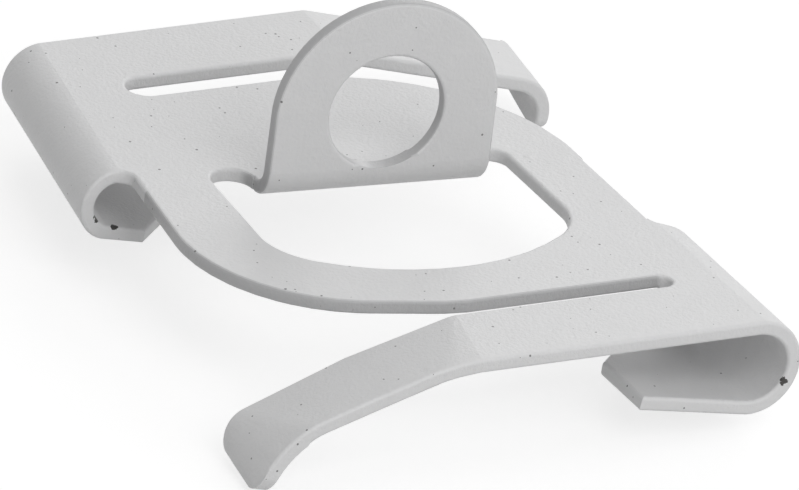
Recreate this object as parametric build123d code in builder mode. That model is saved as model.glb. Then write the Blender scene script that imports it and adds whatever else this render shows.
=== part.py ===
from build123d import *
from math import cos, radians, sin, tan
import os

# Twist-on clip for a 24 mm ceiling bar: one piece of sheet steel, stamped, folded and painted.
# X runs along the spring arms, Y across them to the back, Z up to the tip of the lug.
# The origin is the point that the two arms turn about, on the underside of the plate,
# which is the face that seats on the flange of the bar. All sizes are in millimetres.

# The sheet with its paint
sheet = 0.72

# The ring plate: a front arc that runs on along a sloping edge to the slot, and a back arc
front_arc_radius = 7.92
front_arc_x = -4.96
front_arc_y = -3.29
front_edge_slope = 15.7
front_blend_radius = 8.0
back_arc_radius = 10.4
back_arc_x = -0.35
plate_front = -12.05
plate_back = 11.2
left_side_lean = 8.5

# The spring arms, and where the slots beside them end
arm_inner = 13.1
arm_width = 4.6
slot_end = 7.9

# The bend at the root of each arm: its distance out, its radius and the slope it gives
front_bend_inner = 3.93
front_bend_outer = 6.06
front_bend_radius_inner = 2.5
front_bend_radius_outer = 12.0
front_slope_inner = 12.35
front_slope_outer = 17.1
back_bend_inner = 4.2
back_bend_outer = 4.4
back_bend_radius = 2.5
back_slope = 14.7

# How much steeper each arm has grown where its curl starts
front_sag_inner = 11.7
front_sag_outer = 1.0
back_sag = 1.0

# The curl at the tip of each arm: where it starts, its radius, its last angle and the straight end
front_curl_start_inner = 14.64
front_curl_start_outer = 12.7
front_curl_radius_inner = 1.34
front_curl_radius_outer = 5.0
front_curl_end_inner = 88.0
front_curl_end_outer = 73.0
front_tip_straight_inner = 0.75
front_tip_straight_outer = 0.25
front_tip_corner_inner = 0.6
front_tip_corner_outer = 1.0
back_curl_start_inner = 14.4
back_curl_start_outer = 15.45
back_curl_radius_inner = 2.2
back_curl_radius_outer = 1.1
back_curl_end_inner = 98.0
back_curl_end_outer = 88.0
back_tip_straight_inner = 0.75
back_tip_straight_outer = 0.5
back_tip_corner = 0.6

# The two hooks that are rolled under the plate
lip_length = 5.7
lip_cut_angle = 45.0
notch_radius = 0.7
right_bend_x = 9.97
right_roll_radius = 2.43
right_turn = 190.0
right_hook_end = 7.2
right_bend_skew = 0.0
right_cut_start = -0.7
left_bend_x = 9.7
left_roll_radius = 1.84
left_turn = 168.0
left_hook_end = 4.4
left_bend_skew = 11.0
left_cut_start = 1.7

# The window, which the lug was folded out of
window_left = -8.5
window_left_lean = 4.8
window_right = 6.6
window_front = -8.7
window_arc_x = -0.9
window_arc_radius = 11.1
window_left_corner = 3.6
window_right_corner = 3.4

# The lug, and the relief notches beside its foot
lug_x = -0.8
lug_fold_y = 1.6
lug_yaw = -5.5
lug_width = 11.3
lug_fold_radius = 0.9
lug_hole_height = 3.7
lug_hole_radius = 2.88
relief_depth = 1.0

# Lengths worked out from the sizes above
arm_outer = arm_inner + arm_width
reach = 30.0
nearly = 0.01
yaw_slope = tan(radians(lug_yaw))
turned = Plane.XY.rotated((0, 0, 180))


def ring_outline():
    """The plan of the plate between the slots, with the hooks left out."""
    back_arc_y = plate_back - back_arc_radius
    right_side = back_arc_x + back_arc_radius
    slope = radians(front_edge_slope)
    edge_x = front_arc_x - front_arc_radius * sin(slope)
    edge_y = front_arc_y - front_arc_radius * cos(slope)
    lean = radians(left_side_lean)
    side_x = front_arc_x - front_arc_radius * cos(lean)
    side_y = front_arc_y + front_arc_radius * sin(lean)
    with BuildSketch() as ring:
        with BuildLine():
            Polyline(
                (edge_x, edge_y),
                (edge_x + (edge_y - plate_front) / tan(slope), plate_front),
                (right_side, plate_front),
                (right_side, back_arc_y),
                (back_arc_x, plate_back),
                (side_x + (plate_back - side_y) * tan(lean), plate_back),
                (side_x, side_y),
                close=True,
            )
        make_face()
        blend_corner = ring.vertices().filter_by(lambda corner: abs(corner.Y - plate_front) < nearly)
        fillet(blend_corner.sort_by(Axis.X)[0], front_blend_radius)
        with Locations((front_arc_x, front_arc_y)):
            Circle(front_arc_radius)
        with Locations((back_arc_x, back_arc_y)):
            Circle(back_arc_radius)
    return ring.sketch


def notch_corner(corners, hook_edge_y):
    """The inward corner where the end of a hook meets the ring plate."""
    on_edge = corners.filter_by(lambda corner: abs(corner.Y - hook_edge_y) < nearly)
    return on_edge.sort_by(lambda corner: abs(corner.X))[0]


def clip_outline():
    """The plan of the whole clip before folding, run out far beyond both bend lines."""
    with BuildSketch() as outline:
        add(ring_outline())
        for hook_end, side in ((right_hook_end, 1), (left_hook_end, -1)):
            with Locations((side * reach / 2, -side * (arm_outer + hook_end) / 2)):
                Rectangle(reach, arm_outer - hook_end)
            corners = outline.vertices().filter_by(lambda corner: corner.X * side > 0)
            fillet(notch_corner(corners, -side * hook_end), notch_radius)
    return outline.sketch


def fold_y(x):
    """The Y of the line that the lug is folded on."""
    return lug_fold_y + (x - lug_x) * yaw_slope


def window_outline():
    """The plan of the window, and of the two relief notches beside the foot of the lug."""
    lean = tan(radians(window_left_lean))
    foot_left = lug_x - lug_width / 2
    foot_right = lug_x + lug_width / 2
    with BuildSketch() as window:
        with BuildLine():
            front_left_x = window_left - (fold_y(window_left) - window_front) * lean
            Polyline(
                (window_left, fold_y(window_left)),
                (front_left_x, window_front),
                (window_right, window_front),
                (window_right, fold_y(window_right)),
                close=True,
            )
        make_face()
        with Locations((window_arc_x, window_front + window_arc_radius)):
            Circle(window_arc_radius, mode=Mode.INTERSECT)
        corners = window.vertices().group_by(Axis.Y)[0] + window.vertices().group_by(Axis.Y)[1]
        fillet(corners.sort_by(Axis.X)[0], window_left_corner)
        right_edge = window.vertices().filter_by(lambda corner: corner.X > window_right - nearly)
        fillet(right_edge.sort_by(Axis.Y)[0], window_right_corner)
        for low_x, high_x in ((window_left, foot_left), (foot_right, window_right)):
            width = high_x - low_x
            middle = (low_x + high_x) / 2
            top = fold_y(middle) + relief_depth
            with Locations((middle, top - width / 2)):
                Circle(width / 2)
            with Locations((middle, top - width)):
                Rectangle(width, width)
    return window.sketch


def beyond_bend(bend_x, skew, plane):
    """The plan of what lies outside a bend line, and so is rolled and not flat."""
    bend_slope = tan(radians(skew))
    with BuildSketch(plane) as beyond:
        with BuildLine():
            Polyline(
                (bend_x - (reach - arm_outer) * bend_slope, -reach),
                (2 * reach, -reach),
                (2 * reach, 0),
                (bend_x + arm_outer * bend_slope, 0),
                close=True,
            )
        make_face()
    return beyond.sketch


def flat_plate(outline):
    """The flat of the sheet: ring plate, roots of the arms, and what joins them to the hooks."""
    with BuildPart() as plate:
        with BuildSketch():
            add(outline)
            add(window_outline(), mode=Mode.SUBTRACT)
            for inner_edge, side in ((-plate_front, 1), (plate_back, -1)):
                width = arm_inner - inner_edge
                middle = (arm_inner + inner_edge) / 2
                with Locations((side * (slot_end - reach), -side * middle)):
                    SlotOverall(2 * reach, width, mode=Mode.SUBTRACT)
            add(beyond_bend(right_bend_x, right_bend_skew, Plane.XY), mode=Mode.SUBTRACT)
            add(beyond_bend(left_bend_x, left_bend_skew, turned), mode=Mode.SUBTRACT)
        extrude(amount=sheet)
    return plate.part


def hook(outline, plane, bend_x, skew, roll_radius, turn, hook_end, cut_start):
    """A hook: the sheet rolled under the plate, ending in a straight lip with a corner cut off."""
    skew_turn = Plane.XY.rotated((0, 0, -skew))
    section_plane = Plane(
        origin=plane.from_local_coords(Vector(bend_x, -arm_outer, sheet)),
        x_dir=plane.from_local_coords(skew_turn.x_dir),
        z_dir=plane.from_local_coords(-skew_turn.y_dir),
    )
    cut_x = bend_x + (arm_outer - hook_end) * tan(radians(skew)) - cut_start
    notch_y = notch_radius - hook_end
    with BuildPart() as rolled:
        with BuildSketch(section_plane):
            with BuildLine():
                roll = JernArc(start=(0, 0), tangent=(1, 0), radius=roll_radius, arc_size=-turn)
                Line(roll @ 1, roll @ 1 + lip_length * (roll % 1))
                offset(amount=sheet, side=Side.RIGHT)
            make_face()
        extrude(amount=reach, both=True)
        with BuildSketch(Plane.XY.offset(-reach)):
            add(outline)
            with Locations(plane.from_local_coords(Vector(reach / 2, (notch_y - arm_outer) / 2))):
                Rectangle(reach, arm_outer + notch_y, mode=Mode.INTERSECT)
        extrude(amount=2 * reach, mode=Mode.INTERSECT)
        with BuildSketch(plane.offset(-reach)):
            with Locations((reach / 2, reach / 2 - hook_end)):
                Rectangle(reach, reach)
        extrude(amount=reach - sheet / 2, mode=Mode.SUBTRACT)
        with BuildSketch(plane.offset(-reach)):
            with BuildLine():
                Polyline(
                    (cut_x, -hook_end),
                    (cut_x - reach, -hook_end - reach * tan(radians(lip_cut_angle))),
                    (cut_x - reach, -hook_end),
                    close=True,
                )
            make_face()
        extrude(amount=reach + sheet - roll_radius, mode=Mode.SUBTRACT)
    return rolled.part


def arm_line(side, inset):
    """One face of an arm seen from its side: root, bend, slope that sags, curl and straight tip."""
    bend_x, bend_radius, slope, sag, curl_start, curl_radius, curl_end, tip_straight = side
    root_end = bend_x - bend_radius * tan(radians(slope / 2))
    slope_x = root_end + bend_radius * sin(radians(slope))
    sag_radius = (curl_start - slope_x) / (sin(radians(slope + sag)) - sin(radians(slope)))
    root = Line((0, sheet - inset), (root_end, sheet - inset))
    bend = JernArc(root @ 1, root % 1, bend_radius - inset, -slope)
    sloping = JernArc(bend @ 1, bend % 1, sag_radius - inset, -sag)
    curl = JernArc(sloping @ 1, sloping % 1, curl_radius - inset, slope + sag - curl_end)
    tip = Line(curl @ 1, curl @ 1 + tip_straight * (curl % 1))
    return root @ 0, tip @ 1


def arm_section(plane, side):
    """The section through one side of an arm, as thick as the sheet."""
    with BuildSketch(plane) as section:
        with BuildLine():
            top_root, top_tip = arm_line(side, 0)
            under_root, under_tip = arm_line(side, sheet)
            Line(top_root, under_root)
            Line(top_tip, under_tip)
        make_face()
    return section.sketch


def arm(frame, inner_side, outer_side, corner_inner, corner_outer):
    """A spring arm, ruled between the profile of its inner side and that of its outer side."""
    across = Plane(origin=frame.origin, x_dir=-frame.x_dir, z_dir=frame.y_dir)
    with BuildPart() as blade:
        add(arm_section(across.offset(-arm_inner), inner_side))
        add(arm_section(across.offset(-arm_outer), outer_side))
        loft(ruled=True)
        for corner, radius in ((-1, corner_outer), (0, corner_inner)):
            through_sheet = blade.edges().filter_by(lambda edge: abs(edge.length - sheet) < nearly)
            at_tip = through_sheet.filter_by(lambda edge: abs(edge.center().X) > slot_end)
            fillet(at_tip.sort_by(lambda edge: abs(edge.center().Y))[corner], radius)
    return blade.part


def front_arm():
    """The arm in front of the plate: its outer edge bends and curls more gently."""
    return arm(
        Plane.XY,
        (
            front_bend_inner, front_bend_radius_inner, front_slope_inner, front_sag_inner,
            front_curl_start_inner, front_curl_radius_inner, front_curl_end_inner,
            front_tip_straight_inner,
        ),
        (
            front_bend_outer, front_bend_radius_outer, front_slope_outer, front_sag_outer,
            front_curl_start_outer, front_curl_radius_outer, front_curl_end_outer,
            front_tip_straight_outer,
        ),
        front_tip_corner_inner,
        front_tip_corner_outer,
    )


def back_arm():
    """The arm behind the plate: its inner edge curls more gently, and further round."""
    return arm(
        turned,
        (
            back_bend_inner, back_bend_radius, back_slope, back_sag,
            back_curl_start_inner, back_curl_radius_inner, back_curl_end_inner,
            back_tip_straight_inner,
        ),
        (
            back_bend_outer, back_bend_radius, back_slope, back_sag,
            back_curl_start_outer, back_curl_radius_outer, back_curl_end_outer,
            back_tip_straight_outer,
        ),
        back_tip_corner,
        back_tip_corner,
    )


def lug():
    """The lug: folded up out of the window, round at its top, with one round hole."""
    foot = Plane(
        origin=(lug_x, lug_fold_y, 0),
        x_dir=(cos(radians(lug_yaw)), sin(radians(lug_yaw)), 0),
        z_dir=(0, 0, 1),
    )
    side_plane = Plane(origin=foot.origin, x_dir=-foot.y_dir, z_dir=-foot.x_dir)
    front_plane = Plane(origin=foot.origin, x_dir=foot.x_dir, z_dir=-foot.y_dir)
    hole_z = sheet + lug_hole_height
    with BuildPart() as folded:
        with BuildSketch(side_plane):
            with BuildLine():
                fold = JernArc((0, sheet), (1, 0), lug_fold_radius, 90)
                Line(fold @ 1, fold @ 1 + reach * (fold % 1))
                offset(amount=sheet, side=Side.RIGHT)
            make_face()
        extrude(amount=reach, both=True)
        with BuildSketch(front_plane):
            with Locations((0, hole_z)):
                Circle(lug_width / 2)
            with Locations((0, hole_z / 2)):
                Rectangle(lug_width, hole_z)
            with Locations((0, hole_z)):
                Circle(lug_hole_radius, mode=Mode.SUBTRACT)
        extrude(amount=reach, both=True, mode=Mode.INTERSECT)
    return folded.part


outline = clip_outline()
with BuildPart() as clip:
    add(flat_plate(outline))
    add(hook(
        outline, Plane.XY, right_bend_x, right_bend_skew, right_roll_radius,
        right_turn, right_hook_end, right_cut_start,
    ))
    add(hook(
        outline, turned, left_bend_x, left_bend_skew, left_roll_radius,
        left_turn, left_hook_end, left_cut_start,
    ))
    add(front_arm())
    add(back_arm())
    add(lug())

clip.part.label = "ceiling_bar_clip"
os.makedirs("parts", exist_ok=True)
export_step(clip.part, "parts/ceiling_bar_clip.step")
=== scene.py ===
import math

import bpy
from mathutils import Matrix, Vector


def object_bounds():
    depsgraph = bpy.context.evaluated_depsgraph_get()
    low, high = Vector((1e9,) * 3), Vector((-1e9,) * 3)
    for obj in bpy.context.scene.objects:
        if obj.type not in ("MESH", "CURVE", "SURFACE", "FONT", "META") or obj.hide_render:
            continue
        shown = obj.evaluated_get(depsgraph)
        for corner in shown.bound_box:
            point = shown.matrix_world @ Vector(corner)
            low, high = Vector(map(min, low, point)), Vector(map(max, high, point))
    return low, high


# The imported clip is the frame. Lengths here are in metres, angles in degrees.
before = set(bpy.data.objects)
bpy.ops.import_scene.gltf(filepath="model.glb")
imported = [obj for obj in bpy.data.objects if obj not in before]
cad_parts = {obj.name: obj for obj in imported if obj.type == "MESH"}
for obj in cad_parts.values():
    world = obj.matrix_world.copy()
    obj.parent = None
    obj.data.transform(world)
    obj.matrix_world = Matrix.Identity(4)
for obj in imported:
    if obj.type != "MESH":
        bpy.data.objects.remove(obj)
cad_box = [list(corner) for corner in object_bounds()]
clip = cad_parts["ceiling_bar_clip"]

# Camera: a long lens from far off, so that parallel edges stay parallel as in the photograph
IMAGE_WIDTH = 799
PX_PER_MM = 21.376
MM_PER_M = 1000
CAMERA_ELEVATION = 25.88
CAMERA_AZIMUTH = 31.24
CAMERA_ROLL = 7.36
CAMERA_DISTANCE = 1.05
CAMERA_NEAREST = 0.01
CAMERA_FARTHEST = 10.0
AIM_RIGHT = 0.000262
AIM_UP = -0.002348
SENSOR_WIDTH = 36.0

# The cut edges, which the press and the paint have rounded
RIM_WIDTH = 0.00018
RIM_SEGMENTS = 4
RIM_ANGLE = 32.0
FLAT_ANGLE = 4.0
WELD_DISTANCE = 1e-6
SHARP_ANGLE = 40.0
SHEET = 0.00072
SHEET_PLAY = 0.00003

# Balls in which the edges stay sharp, because the rounding would fold over itself there
RIM_GAPS = (
    ((-0.0006, 0.0, 0.0014), 0.0014),
    ((-0.0157, -0.0172, -0.0046), 0.0014),
    ((-0.0142, -0.0177, -0.0032), 0.0007),
    ((0.016, 0.0175, -0.004), 0.003),
)

# Two ways a share changes over a span of values
RISING = (0.0, 1.0)
FALLING = (1.0, 0.0)

# Paint: its two tones and its peel. Each noise has a scale, a detail and a roughness.
PAINT = (0.765, 0.765, 0.768, 1.0)
PAINT_DARKER = (0.72, 0.72, 0.724, 1.0)
PAINT_ROUGHNESS = 0.45
PAINT_IOR = 1.5
MOTTLE = (900.0, 4.0, 0.6)
PEEL = (5200.0, 3.0, 0.55)
PEEL_STRENGTH = 0.8
PEEL_DEPTH = 0.00004

# Dark specks in the paint
SPECK = (0.2, 0.2, 0.2, 1.0)
SPECK_SCALE = 2200.0
SPECK_SHARE = 0.6
SPECK_SIZE = 0.15

# Cut walls with thin paint and painted shade, in one darker tone: the ring's outer wall, and the lug's
# rim and hole.
# Each pair is the span over which the tone changes along one direction.
WALL_THIN_PAINT_AND_SHADE = (0.5, 0.5, 0.505, 1.0)
WALL_TURN = (0.35, 0.75)
LUG_NORMAL = (0.0958458, 0.9953962, 0.0)
LUG_FOOT = (0.0015, 0.0019)
RING_FOOT = (-0.0003, -0.0001)
RING_REACH = (0.0164, 0.0165)
RING_SIDE = (0.0095, 0.0105)
LEFT_HOOK_START = (0.0021, 0.0022)
RIGHT_HOOK_START = (-0.0066, -0.0065)

# Chips in the paint on the hooks' edges: where each patch of them is and how far it reaches
CHIP = (0.045, 0.042, 0.04, 1.0)
CHIP_GRAIN = (5200.0, 2.0, 0.5)
CHIP_LEVEL = 0.27
CHIPS = (
    ((-0.0132, 0.0044, -0.0017), 0.0005),
    ((-0.0122, 0.0044, -0.0022), 0.0005),
    ((0.01157, -0.0177, -0.00256), 0.00042),
)

# Faint bumps in the paint: where each is and how far it reaches
PAINT_BUMPS = (
    ((0.00748, 0.00064, 0.00072), 0.0003),
    ((-0.00719, -0.01702, 0.00028), 0.0003),
)

# Floor and world
BACKDROP = (1.0, 1.0, 1.0, 1.0)
FLOOR_TONE = (0.7, 0.7, 0.7, 1.0)
FLOOR_GLOW = 0.72
FLOOR_SHADE = (0.4, 0.4, 0.4, 1.0)
FLOOR_SIZE = 0.6
FLOOR_GAP = 0.0002
WORLD_LIGHT = 0.35
WORLD_SHOWN = 1.0

# Lamps: the name, place and watts of each. They point at the origin.
LAMP_SIZE = 0.3
LAMPS = (
    ("front lamp", (0.0, -0.35, 0.32), 0.6),
    ("low front lamp", (-0.12, -0.42, 0.06), 0.18),
    ("top lamp", (0.0, 0.0, 0.45), 0.2),
    ("right lamp", (0.35, 0.0, 0.32), 0.092),
    ("front right lamp", (0.28, -0.3, 0.22), 0.19),
    ("back right lamp", (0.32, 0.3, 0.25), 0.471),
)


def camera_axes():
    """The camera's right, up and forward directions."""
    elevation = math.radians(CAMERA_ELEVATION)
    azimuth = math.radians(CAMERA_AZIMUTH)
    roll = math.radians(CAMERA_ROLL)
    level = Vector((math.cos(azimuth), -math.sin(azimuth), 0))
    flat = Vector((math.sin(azimuth), math.cos(azimuth), 0))
    forward = flat * math.cos(elevation) - Vector((0, 0, math.sin(elevation)))
    upright = flat * math.sin(elevation) + Vector((0, 0, math.cos(elevation)))
    right = level * math.cos(roll) + upright * math.sin(roll)
    up = upright * math.cos(roll) - level * math.sin(roll)
    return right, up, forward


def make_camera():
    """The camera at the photograph's angle."""
    right, up, forward = camera_axes()
    aim = right * AIM_RIGHT + up * AIM_UP
    data = bpy.data.cameras.new("camera")
    data.sensor_width = SENSOR_WIDTH
    data.lens = PX_PER_MM * CAMERA_DISTANCE * MM_PER_M / IMAGE_WIDTH * SENSOR_WIDTH
    data.clip_start = CAMERA_NEAREST
    data.clip_end = CAMERA_FARTHEST
    camera = bpy.data.objects.new("camera", data)
    place = Matrix((right, up, -forward)).transposed().to_4x4()
    place.translation = aim - forward * CAMERA_DISTANCE
    camera.matrix_world = place
    bpy.context.scene.collection.objects.link(camera)
    bpy.context.scene.camera = camera


def fill(tree, socket, value):
    """Gives an input a value, or a link where the value is an output."""
    if isinstance(value, bpy.types.NodeSocket):
        tree.links.new(value, socket)
    else:
        socket.default_value = value


def add_node(tree, kind, settings=None, **values):
    """A new node, with its settings and what goes into its named inputs."""
    made = tree.nodes.new(kind)
    for name, value in (settings or {}).items():
        setattr(made, name, value)
    for name, value in values.items():
        fill(tree, made.inputs[name.replace("_", " ")], value)
    return made


def calculated(tree, operation, *values, clamp=False):
    """A number worked out from numbers."""
    made = add_node(tree, "ShaderNodeMath", {"operation": operation, "use_clamp": clamp})
    for socket, value in zip(made.inputs, values):
        fill(tree, socket, value)
    return made.outputs[0]


def measured(tree, operation, *vectors):
    """A number worked out from one or two vectors."""
    made = add_node(tree, "ShaderNodeVectorMath", {"operation": operation})
    for socket, vector in zip(made.inputs, vectors):
        fill(tree, socket, vector)
    return made.outputs["Value"]


def joined(tree, operation, *shares):
    """Several shares taken together with one math operation."""
    whole = shares[0]
    for share in shares[1:]:
        whole = calculated(tree, operation, whole, share)
    return whole


def ramp(tree, value, span, ends):
    """A value mapped from one span to another, and kept inside it."""
    low, high = span
    start, end = ends
    made = add_node(
        tree, "ShaderNodeMapRange", Value=value, From_Min=low, From_Max=high, To_Min=start, To_Max=end
    )
    return made.outputs[0]


def nearness(tree, place, spots):
    """How near a place is to any of some spots: 1 at a spot, 0 where its reach ends."""
    shares = []
    for centre, reach in spots:
        distance = measured(tree, "DISTANCE", place, centre)
        shares.append(ramp(tree, distance, (0.0, reach), FALLING))
    return joined(tree, "MAXIMUM", *shares)


def noise(tree, place, look):
    """A noise with a look made of its scale, detail and roughness."""
    scale, detail, roughness = look
    made = add_node(
        tree, "ShaderNodeTexNoise", Vector=place, Scale=scale, Detail=detail, Roughness=roughness
    )
    return made.outputs["Fac"]


def mix_colours(tree, share, low, high):
    """The mix of two colours."""
    made = add_node(tree, "ShaderNodeMix", {"data_type": "RGBA"}, Factor=share, A=low, B=high)
    return made.outputs["Result"]


def mix_shaders(tree, share, low, high):
    """The mix of two shaders."""
    made = add_node(tree, "ShaderNodeMixShader", Fac=share)
    tree.links.new(low, made.inputs[1])
    tree.links.new(high, made.inputs[2])
    return made.outputs[0]


def empty_tree(owner):
    """The node tree of a material or world, with nothing in it."""
    owner.use_nodes = True
    owner.node_tree.nodes.clear()
    return owner.node_tree


def specks(tree, place):
    """A mask of a few small round specks, scattered over the surface."""
    cells = add_node(tree, "ShaderNodeTexVoronoi", Vector=place, Scale=SPECK_SCALE)
    chance = add_node(tree, "ShaderNodeSeparateColor", Color=cells.outputs["Color"])
    radius = ramp(tree, chance.outputs[0], (SPECK_SHARE, 1.0), (0.0, SPECK_SIZE))
    return calculated(tree, "LESS_THAN", cells.outputs["Distance"], radius)


def off_hooks(tree, place):
    """A mask of all that lies away from the hooks' edges, seen from above."""
    leftward = measured(tree, "DOT_PRODUCT", place, (-1.0, 0.0, 0.0))
    rightward = measured(tree, "DOT_PRODUCT", place, (1.0, 0.0, 0.0))
    backward = measured(tree, "DOT_PRODUCT", place, (0.0, 1.0, 0.0))
    left_hook = calculated(
        tree,
        "MULTIPLY",
        ramp(tree, leftward, RING_SIDE, RISING),
        ramp(tree, backward, LEFT_HOOK_START, RISING),
    )
    right_hook = calculated(
        tree,
        "MULTIPLY",
        ramp(tree, rightward, RING_SIDE, RISING),
        ramp(tree, backward, RIGHT_HOOK_START, FALLING),
    )
    return calculated(tree, "SUBTRACT", 1.0, calculated(tree, "MAXIMUM", left_hook, right_hook))


def cut_walls(tree, place, normal):
    """A mask of the ring's outer wall and of the lug's rim and hole, where thin paint and painted
    shade darken the tone.
    """
    height = measured(tree, "DOT_PRODUCT", place, (0.0, 0.0, 1.0))
    facing = calculated(tree, "ABSOLUTE", measured(tree, "DOT_PRODUCT", normal, LUG_NORMAL))
    lug = calculated(
        tree,
        "MULTIPLY",
        ramp(tree, facing, WALL_TURN, FALLING),
        ramp(tree, height, LUG_FOOT, RISING),
    )

    outward = add_node(tree, "ShaderNodeVectorMath", {"operation": "NORMALIZE"})
    tree.links.new(place, outward.inputs[0])
    ring = joined(
        tree,
        "MULTIPLY",
        ramp(tree, measured(tree, "DOT_PRODUCT", normal, outward.outputs[0]), WALL_TURN, RISING),
        off_hooks(tree, place),
        ramp(tree, measured(tree, "LENGTH", place), RING_REACH, FALLING),
        ramp(tree, height, RING_FOOT, RISING),
    )
    return calculated(tree, "MAXIMUM", lug, ring)


def chips(tree, place):
    """A mask of the chipped patches, each broken up by noise and fading with distance."""
    broken = calculated(tree, "MULTIPLY", nearness(tree, place, CHIPS), noise(tree, place, CHIP_GRAIN))
    return calculated(tree, "GREATER_THAN", broken, CHIP_LEVEL)


def paint_material():
    """White satin paint over sheet steel, with its peel, faint mottling, specks and chips, and painted
    shade on its thinly painted cut walls.
    """
    material = bpy.data.materials.new("painted_sheet")
    tree = empty_tree(material)
    where = tree.nodes.new("ShaderNodeTexCoord")
    place = where.outputs["Object"]

    tone = mix_colours(tree, noise(tree, place, MOTTLE), PAINT_DARKER, PAINT)
    # The cut walls take a darker tone: thin paint there, and painted shade.
    tone = mix_colours(tree, cut_walls(tree, place, where.outputs["Normal"]), tone, WALL_THIN_PAINT_AND_SHADE)
    tone = mix_colours(tree, specks(tree, place), tone, SPECK)
    tone = mix_colours(tree, chips(tree, place), tone, CHIP)

    height = calculated(tree, "ADD", noise(tree, place, PEEL), nearness(tree, place, PAINT_BUMPS))
    bump = add_node(tree, "ShaderNodeBump", Strength=PEEL_STRENGTH, Distance=PEEL_DEPTH, Height=height)
    paint = add_node(tree, "ShaderNodeBsdfPrincipled", Roughness=PAINT_ROUGHNESS, IOR=PAINT_IOR)
    tree.links.new(tone, paint.inputs["Base Color"])
    tree.links.new(bump.outputs[0], paint.inputs["Normal"])
    add_node(tree, "ShaderNodeOutputMaterial", Surface=paint.outputs[0])
    return material


def edge_nodes(name):
    """A node group for a modifier, with its ends in place."""
    tree = bpy.data.node_groups.new(name, "GeometryNodeTree")
    for way in ("INPUT", "OUTPUT"):
        tree.interface.new_socket("Geometry", in_out=way, socket_type="NodeSocketGeometry")
    tree.nodes.new("NodeGroupInput")
    tree.nodes.new("NodeGroupOutput")
    return tree


def steeper(tree, angle):
    """A mask of the edges between faces that meet at more than an angle."""
    bend = tree.nodes.new("GeometryNodeInputMeshEdgeAngle")
    return calculated(tree, "GREATER_THAN", bend.outputs["Unsigned Angle"], math.radians(angle))


def store_on_edges(tree, attribute, kind, value):
    """Passes the mesh on with a value stored on its edges."""
    store = add_node(
        tree,
        "GeometryNodeStoreNamedAttribute",
        {"domain": "EDGE", "data_type": kind},
        Geometry=tree.nodes["Group Input"].outputs[0],
        Name=attribute,
        Value=value,
    )
    tree.links.new(store.outputs[0], tree.nodes["Group Output"].inputs[0])


def sharp_marks():
    """Nodes that mark the edges still sharp after the bevel, so that they shade as sharp."""
    tree = edge_nodes("sharp_marks")
    store_on_edges(tree, "sharp_edge", "BOOLEAN", steeper(tree, SHARP_ANGLE))
    return tree


def rim_weights():
    """Nodes that mark the sheet's cut edges for the bevel.

    They leave out the edges across the sheet's thickness, and those in a gap.
    """
    tree = edge_nodes("rim_weights")
    ends = tree.nodes.new("GeometryNodeInputMeshEdgeVertices")
    length = measured(tree, "DISTANCE", ends.outputs["Position 1"], ends.outputs["Position 2"])
    across = calculated(tree, "COMPARE", length, SHEET, SHEET_PLAY)
    spot = tree.nodes.new("GeometryNodeInputPosition")
    gap = calculated(tree, "GREATER_THAN", nearness(tree, spot.outputs[0], RIM_GAPS), 0.0)

    weight = calculated(tree, "SUBTRACT", steeper(tree, RIM_ANGLE), across, clamp=True)
    weight = calculated(tree, "SUBTRACT", weight, gap, clamp=True)
    store_on_edges(tree, "bevel_weight_edge", "FLOAT", weight)
    return tree


def soften_rim(piece):
    """Rounds the cut edges in the geometry."""
    weld = piece.modifiers.new("weld", "WELD")
    weld.merge_threshold = WELD_DISTANCE
    flats = piece.modifiers.new("flats", "DECIMATE")
    flats.decimate_type = "DISSOLVE"
    flats.angle_limit = math.radians(FLAT_ANGLE)
    weights = piece.modifiers.new("weights", "NODES")
    weights.node_group = rim_weights()
    bevel = piece.modifiers.new("rim", "BEVEL")
    bevel.width = RIM_WIDTH
    bevel.segments = RIM_SEGMENTS
    bevel.limit_method = "WEIGHT"
    bevel.use_clamp_overlap = False
    bevel.loop_slide = False
    marks = piece.modifiers.new("marks", "NODES")
    marks.node_group = sharp_marks()
    normals = piece.modifiers.new("normals", "WEIGHTED_NORMAL")
    normals.keep_sharp = True


def seen_or_mirrored(tree):
    """A mask of the rays that come from the camera, a gloss or a clear body."""
    ray = tree.nodes.new("ShaderNodeLightPath")
    kinds = ("Is Camera Ray", "Is Glossy Ray", "Is Transmission Ray")
    return joined(tree, "MAXIMUM", *(ray.outputs[kind] for kind in kinds))


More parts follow.
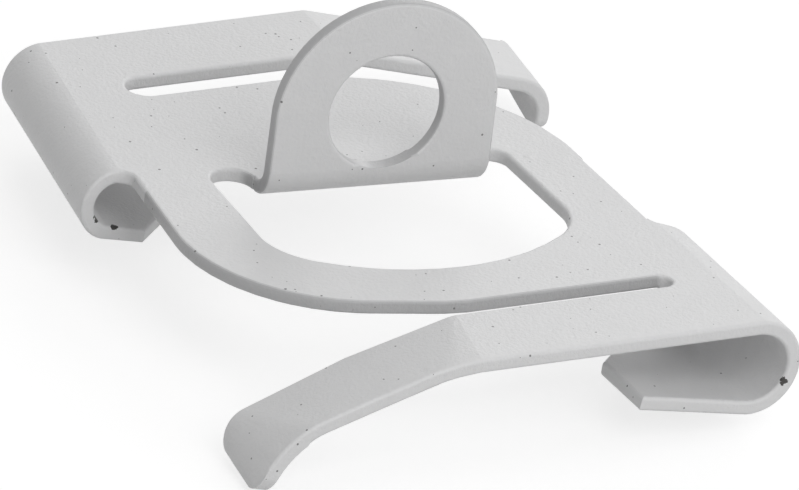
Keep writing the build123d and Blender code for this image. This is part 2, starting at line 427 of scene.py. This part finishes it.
def backdrop_material():
    """Shows white with the clip's soft shadow, and takes the light as pale paper."""
    material = bpy.data.materials.new("backdrop")
    tree = empty_tree(material)
    paper = add_node(tree, "ShaderNodeBsdfDiffuse", Color=FLOOR_TONE)
    glow = add_node(tree, "ShaderNodeEmission", Color=BACKDROP, Strength=FLOOR_GLOW)
    shade = add_node(tree, "ShaderNodeBsdfDiffuse", Color=FLOOR_SHADE)
    shown = tree.nodes.new("ShaderNodeAddShader")
    tree.links.new(glow.outputs[0], shown.inputs[0])
    tree.links.new(shade.outputs[0], shown.inputs[1])
    surface = mix_shaders(tree, seen_or_mirrored(tree), paper.outputs[0], shown.outputs[0])
    add_node(tree, "ShaderNodeOutputMaterial", Surface=surface)
    return material


def make_floor():
    """The plain pale floor, just under the lowest point of the clip."""
    half = FLOOR_SIZE / 2
    height = cad_box[0][2] - FLOOR_GAP
    mesh = bpy.data.meshes.new("floor")
    corners = [(x, y, height) for x, y in ((-half, -half), (half, -half), (half, half), (-half, half))]
    mesh.from_pydata(corners, [], [(0, 1, 2, 3)])
    mesh.materials.append(backdrop_material())
    floor = bpy.data.objects.new("floor", mesh)
    bpy.context.scene.collection.objects.link(floor)


def make_world():
    """A pale world all round, which shows white."""
    world = bpy.data.worlds.new("world")
    tree = empty_tree(world)
    dim = add_node(tree, "ShaderNodeBackground", Color=BACKDROP, Strength=WORLD_LIGHT)
    bright = add_node(tree, "ShaderNodeBackground", Color=BACKDROP, Strength=WORLD_SHOWN)
    surface = mix_shaders(tree, seen_or_mirrored(tree), dim.outputs[0], bright.outputs[0])
    add_node(tree, "ShaderNodeOutputWorld", Surface=surface)
    bpy.context.scene.world = world


def area_lamp(name, place, watts):
    """A square soft lamp that points at the origin."""
    data = bpy.data.lights.new(name, "AREA")
    data.shape = "SQUARE"
    data.size = LAMP_SIZE
    data.energy = watts
    lamp = bpy.data.objects.new(name, data)
    lamp.location = place
    lamp.rotation_euler = (-Vector(place)).to_track_quat("-Z", "Y").to_euler()
    bpy.context.scene.collection.objects.link(lamp)


def make_light():
    """Plain soft studio light from above, in front and on the right."""
    for name, place, watts in LAMPS:
        area_lamp(name, place, watts)
    make_world()


bpy.context.scene.view_settings.view_transform = "Standard"
make_camera()
make_floor()
make_light()
clip.data.materials.clear()
clip.data.materials.append(paint_material())
soften_rim(clip)
